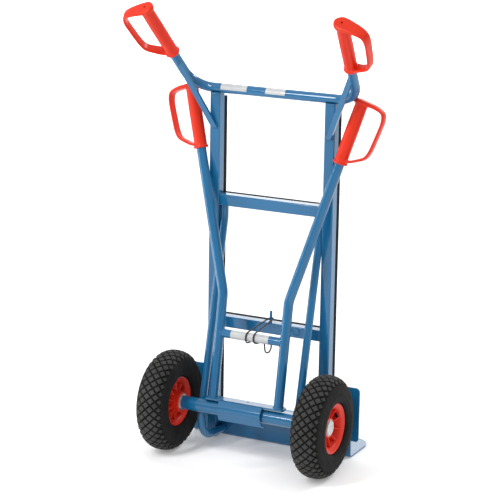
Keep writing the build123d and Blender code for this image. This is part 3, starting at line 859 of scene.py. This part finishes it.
def strip(node, along):
    """A rubber strip with lengthwise ribs on its load face, along Z or X."""
    low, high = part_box(node)
    rear, front = low.y, high.y
    first, second = (low.x, high.x) if along == "z" else (low.z, high.z)
    ends = (low.z, high.z) if along == "z" else (low.x, high.x)
    width = second - first
    inset = 0.2 * MM
    side_line = [
        (0, rear), (0, rear + 1 * MM), (inset, rear + 2 * MM), (inset, front - 2 * MM),
        (0.9 * MM, front - 0.6 * MM),
    ]
    outline = list(side_line)
    step = (width - 4 * MM) / STRIP_RIBS
    for rib in range(STRIP_RIBS):
        left = 2 * MM + rib * step
        for share, depth in ((0.08, 1.2), (0.22, 0.1), (0.5, 0.0), (0.78, 0.1), (0.92, 1.2)):
            outline.append((left + share * step, front - depth * MM))
    outline += [(width - a, y) for a, y in reversed(side_line)]
    vertices = []
    for end in ends:
        for a, y in outline:
            vertices.append((first + a, y, end) if along == "z" else (end, y, first + a))
    count = len(outline)
    faces = grid_faces(2, count)
    faces.append(tuple(range(count)))
    faces.append(tuple(range(count, 2 * count)))
    piece = add_piece(
        f"{node}_ribbed", vertices, faces, strip_rubber, "frame", sharp=30,
        replaced=[node],
    )
    facing_out(piece)


for name in SIDES:
    strip(f"{name}_stile_strip", "z")
for name in ("upper", "middle"):
    strip(f"{name}_crossbar_strip", "x")


# ---------------------------------------------------------------- weld beads
BEAD_STEP = 0.7 * MM
RIPPLE = 2.6 * MM  # pitch of a bead's ripples
STRUT_X = 160  # mm
STAY_BACK = 15.5 * MM  # a stay's head, ahead of the uprights' rear face


def bead(name, points, body, radius=1.9 * MM, closed=False):
    """A weld bead with the ripples of its passes, along a polyline."""
    points = np.array(points, float)
    if closed:
        points = np.vstack([points, points[:1]])
    steps = np.linalg.norm(np.diff(points, axis=0), axis=1)
    arc = np.concatenate([[0], np.cumsum(steps)])
    count = max(8, int(arc[-1] / BEAD_STEP))
    even = np.linspace(0, arc[-1], count)
    path = np.stack([np.interp(even, arc, points[:, axis]) for axis in range(3)], axis=1)
    radii = radius * (1 + 0.14 * np.sin(2 * pi * even / RIPPLE))
    if not closed:
        fade = np.clip(np.minimum(even, even[-1] - even) / (2 * MM), 0.25, 1)
        radii = radii * fade
    vertices, faces = tube_mesh(path, radii, sides=8)
    add_piece(name, vertices, faces, blue_paint, body, sharp=60)


def circle(centre, axis, radius):
    """Points round an axis."""
    axis = Vector(axis).normalized()
    first = axis.orthogonal().normalized()
    second = axis.cross(first)
    turns = [2 * pi * k / 48 for k in range(48)]
    return [centre + radius * (first * cos(turn) + second * sin(turn)) for turn in turns]


def crossbar_welds(inner_x):
    """Where the crossbars meet the uprights, behind and, but for the top one, beneath."""
    for bar in ("upper", "middle", "lower"):
        low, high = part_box(f"{bar}_crossbar")
        for name, side in SIDES.items():
            x = side * inner_x
            behind = [(x, low.y, low.z + 2 * MM), (x, low.y, high.z - 2 * MM)]
            bead(f"{bar}_crossbar_weld_{name}", behind, "frame")
            if bar != "upper":
                beneath = [(x, low.y + 2 * MM, low.z), (x, high.y - 2 * MM, low.z)]
                bead(f"{bar}_crossbar_underweld_{name}", beneath, "frame")


def lever_welds(name, side):
    """Where a lever tube meets the lever's crossbar and the foot bar."""
    bar = middle("lever_crossbar")
    bar_radius = size("lever_crossbar").z / 2
    tube_x = LEVER_FOOT_X * MM
    lean = Vector((0, LEVER_LEAN, 1)).normalized()
    across = Vector((0, 1, -LEVER_LEAN)).normalized()
    saddle = []
    for k in range(40):
        turn = 2 * pi * k / 40
        gap = bar_radius * cos(turn)
        reach = tube_x - sqrt(TUBE_RADIUS**2 - gap**2)
        on_bar = Vector((side * reach, bar.y, bar.z))
        saddle.append(on_bar + across * gap + lean * bar_radius * sin(turn))
    bead(f"lever_crossbar_weld_{name}", saddle, "lever", closed=True)
    foot_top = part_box("foot_bar")[1].z
    foot = Vector((side * tube_x, axle.y + LEVER_LEAN * (foot_top - axle.z), foot_top))
    ring = circle(foot, (0, 0, 1), TUBE_RADIUS)
    bead(f"lever_foot_weld_{name}", ring, "lever", 2.1 * MM, closed=True)


def upright_welds(name, side, inner_x, outer_x):
    """At an upright: its head, the strut's foot, the wheel guard and the stay's head."""
    head_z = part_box("right_stile")[1].z - 4 * MM
    head = [(side * x, back_y, head_z) for x in (outer_x - 1 * MM, inner_x + 1 * MM)]
    bead(f"stile_head_weld_{name}", head, "frame", 1.8 * MM)
    strut_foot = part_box(f"{name}_handle_strut")[0].z
    foot = [
        (side * (STRUT_X + x) * MM, back_y - y * MM, strut_foot + z * MM)
        for x, y, z in ((-9, 3, 12), (-8, 1, 0), (8, 1, 0), (9, 3, 12))
    ]
    bead(f"strut_foot_weld_{name}", foot, "frame", 1.6 * MM)
    low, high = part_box(f"{name}_wheel_guard")
    guard = [(side * outer_x, low.y, low.z + 8 * MM), (side * outer_x, low.y, high.z - 4 * MM)]
    bead(f"wheel_guard_weld_{name}", guard, "frame")
    stay_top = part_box(f"{name}_side_stay")[1].z
    stay_y = back_y + STAY_BACK
    x = side * (inner_x - 1.2 * MM)
    for end, edge in (("rear", -5), ("front", 5)):
        y = stay_y + edge * MM
        stay = [(x, y, stay_top - 42 * MM), (x, y, stay_top - 3 * MM)]
        bead(f"stay_head_weld_{name}_{end}", stay, "frame")


def welds():
    """All the weld beads."""
    inner_x, outer_x = (corner.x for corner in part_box("right_stile"))
    crossbar_welds(inner_x)
    for name, side in SIDES.items():
        lever_welds(name, side)
        upright_welds(name, side, inner_x, outer_x)


welds()


# ---------------------------------------------------------------- stage and light
FLOOR = 30  # half its width, metres


def stage_plane(name, corners, material):
    """A flat piece of the stage."""
    mesh = bpy.data.meshes.new(name)
    mesh.from_pydata(corners, [], [(0, 1, 2, 3)])
    mesh.materials.append(material)
    plane = bpy.data.objects.new(name, mesh)
    scene.collection.objects.link(plane)
    plane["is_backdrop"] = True


def make_stage():
    """White floor, a glowing backdrop on the truck's load side and a white surround."""
    floor_paint, tree, shader = new_material("floor_white")
    tone = ramp(tree, noise(tree, 1.5, 2), [(0.3, 0.86), (0.7, 0.88)])
    tree.links.new(tone, shader.inputs["Base Color"])
    shader.inputs["Roughness"].default_value = 0.7
    shader.inputs["Specular IOR Level"].default_value = 0.1
    shader.inputs["Emission Color"].default_value = (1, 1, 1, 1)
    shader.inputs["Emission Strength"].default_value = 0.2
    corners = [(FLOOR * x, FLOOR * y, 0) for x, y in ((-1, -1), (1, -1), (1, 1), (-1, 1))]
    stage_plane("floor", corners, floor_paint)
    glow, _, shader = new_material("backdrop_white")
    shader.inputs["Base Color"].default_value = (1, 1, 1, 1)
    shader.inputs["Emission Color"].default_value = (1, 1, 1, 1)
    shader.inputs["Emission Strength"].default_value = 1.1
    stage_plane("backdrop", [(-6, 5, 0), (0, 5, 0), (0, 5, 2.6), (-6, 5, 2.6)], glow)

    world = bpy.data.worlds.new("studio")
    scene.world = world
    world.use_nodes = True
    tree = world.node_tree
    coords = tree.nodes.new("ShaderNodeTexCoord")
    split = tree.nodes.new("ShaderNodeSeparateXYZ")
    tree.links.new(coords.outputs["Generated"], split.inputs["Vector"])
    sky = ramp(tree, split.outputs["Z"], [(0.0, 0.6), (0.05, 0.45), (0.25, 0.55), (0.6, 1.0)])
    tree.links.new(sky, tree.nodes["Background"].inputs["Color"])
    tree.nodes["Background"].inputs["Strength"].default_value = 0.9


def softbox(name, place, target, width, height, power):
    """A rectangular lamp at a place, turned to a target, with its power in watts."""
    data = bpy.data.lights.new(name, "AREA")
    data.shape = "RECTANGLE"
    data.size = width
    data.size_y = height
    data.energy = power
    lamp = bpy.data.objects.new(name, data)
    aim = (Vector(target) - Vector(place)).to_track_quat("-Z", "Y")
    lamp.matrix_world = Matrix.Translation(place) @ aim.to_matrix().to_4x4()
    scene.collection.objects.link(lamp)


make_stage()
softbox("key", (-1.2, -2.6, 3.0), (0, 0, 0.5), width=0.5, height=1.8, power=60)
softbox("front_light", (1.8, 2.4, 3.2), (0, 0, 0.2), width=0.9, height=0.9, power=55)
softbox("side_strip", (-2.2, -1.0, 1.0), (0, 0, 0.9), width=0.2, height=2.0, power=14)
scene.view_settings.view_transform = "Standard"

boxes = {"cad": cad_box, "visual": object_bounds()}
{key: [[float(v) for v in corner] for corner in box] for key, box in boxes.items()}
